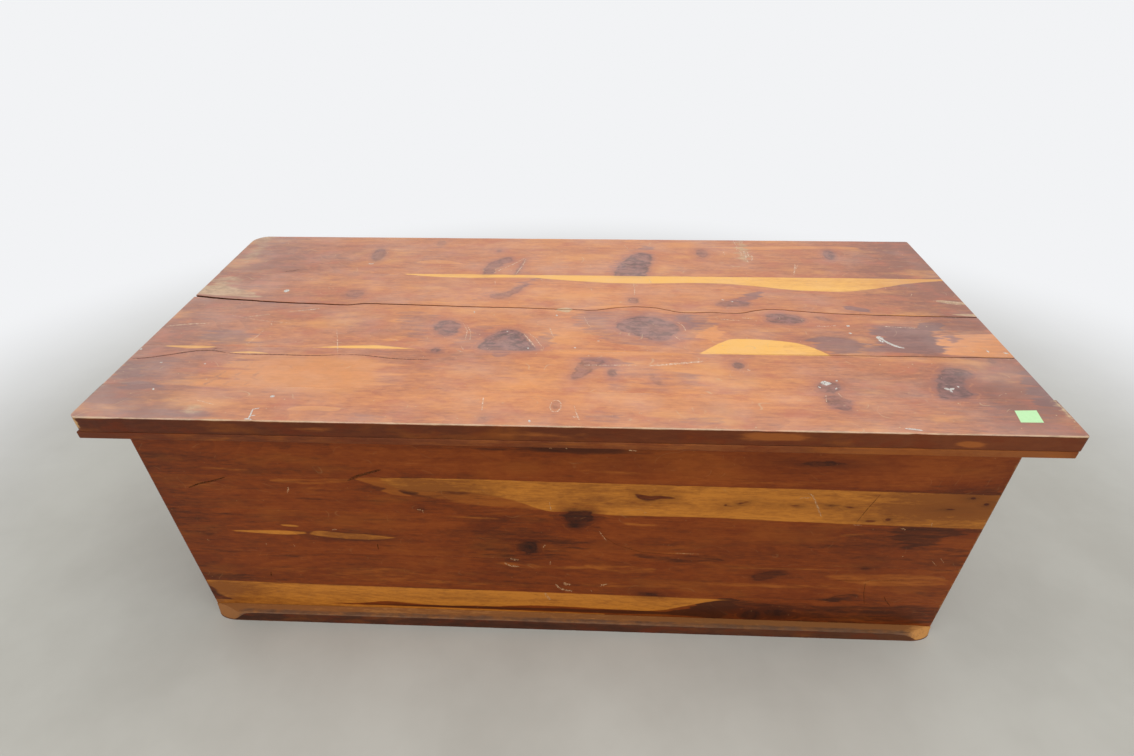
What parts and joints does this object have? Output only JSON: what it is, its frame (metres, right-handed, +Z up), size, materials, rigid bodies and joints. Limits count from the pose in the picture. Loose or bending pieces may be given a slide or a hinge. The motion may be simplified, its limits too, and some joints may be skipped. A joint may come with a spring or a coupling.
{
  "type": "blanket chest",
  "caption": "Long low cedar blanket chest with an overhanging hinged lid of edge-joined boards, an open storage space inside, slotted lid stays and a projecting base strip.",
  "frame": {"origin": "centre of the chest's bounding box, on the floor", "axes": "+Z up, -Y towards the front, +X to the right of someone who faces the front"},
  "size_m": [1.223, 0.5552, 0.442],
  "materials": {
    "cedar_front": "old varnish, red-brown heartwood with pale sapwood bands",
    "cedar_end": "old varnish, red-brown",
    "cedar_back": "thinly varnished, duller than the front",
    "cedar_lid": "worn and faded varnish with scuffs, knots and sapwood streaks",
    "cedar_lip": "varnished, lighter orange-brown",
    "cedar_base": "varnish worn through to bare wood on the top edge and both ends",
    "cedar_bare": "bare planed cedar",
    "hinge_brass": "dull aged brass",
    "stay_steel": "old plated steel",
    "paper_label": "blank pale green paper"
  },
  "bodies": {
    "case": {"back_board_bottom": "cedar_back", "back_board_lower": "cedar_back", "back_board_top": "cedar_back", "back_board_upper": "cedar_back", "back_cleat": "cedar_bare", "base_strip": "cedar_base", "bottom_board_1": "cedar_bare", "bottom_board_2": "cedar_bare", "bottom_board_3": "cedar_bare", "bottom_board_4": "cedar_bare", "corner_post_back_left": "cedar_bare", "corner_post_back_right": "cedar_bare", "corner_post_front_left": "cedar_bare", "corner_post_front_right": "cedar_bare", "front_board_bottom": "cedar_front", "front_board_lower": "cedar_front", "front_board_middle": "cedar_front", "front_board_top": "cedar_front", "front_board_upper": "cedar_front", "front_cleat": "cedar_bare", "hinge_left_case_leaf": "hinge_brass", "hinge_left_pin": "hinge_brass", "hinge_middle_case_leaf": "hinge_brass", "hinge_middle_pin": "hinge_brass", "hinge_right_case_leaf": "hinge_brass", "hinge_right_pin": "hinge_brass", "left_cleat": "cedar_bare", "left_end_board_bottom": "cedar_end", "left_end_board_lower": "cedar_end", "left_end_board_top": "cedar_end", "left_end_board_upper": "cedar_end", "right_cleat": "cedar_bare", "right_end_board_bottom": "cedar_end", "right_end_board_lower": "cedar_end", "right_end_board_top": "cedar_end", "right_end_board_upper": "cedar_end", "stay_stud_plate_left": "stay_steel", "stay_stud_plate_right": "stay_steel"},
    "lid": {"hinge_left_lid_leaf": "hinge_brass", "hinge_middle_lid_leaf": "hinge_brass", "hinge_right_lid_leaf": "hinge_brass", "lid_batten_left": "cedar_bare", "lid_batten_middle": "cedar_bare", "lid_batten_right": "cedar_bare", "lid_board_back": "cedar_lid", "lid_board_front": "cedar_lid", "lid_board_second": "cedar_lid", "lid_board_split_back": "cedar_lid", "lid_board_split_front": "cedar_lid", "lid_lip_front": "cedar_lip", "lid_lip_left": "cedar_lip", "lid_lip_right": "cedar_lip", "stay_bracket_left": "stay_steel", "stay_bracket_right": "stay_steel"},
    "stay_arm_left": {"stay_arm_left": "stay_steel"},
    "stay_arm_right": {"stay_arm_right": "stay_steel"}
  },
  "joints": [
    {"name": "lid_hinge", "type": "hinge", "parent": "case", "child": "lid", "pos_m": [0, 0.27365, 0.41785], "axis": [-1, 0, 0], "range_deg": [0, 95]},
    {"name": "stay_left_pivot", "type": "hinge", "parent": "lid", "child": "stay_arm_left", "pos_m": [-0.5546, 0.12412, 0.406], "axis": [-1, 0, 0], "range_deg": [-47.5, 0]},
    {"name": "stay_right_pivot", "type": "hinge", "parent": "lid", "child": "stay_arm_right", "pos_m": [0.5516, 0.12412, 0.406], "axis": [-1, 0, 0], "range_deg": [-47.5, 0]}
  ],
  "couplings": [
    {"joint": "stay_left_pivot", "follows": "lid_hinge", "ratio": -0.5},
    {"joint": "stay_right_pivot", "follows": "lid_hinge", "ratio": -0.5}
  ]
}
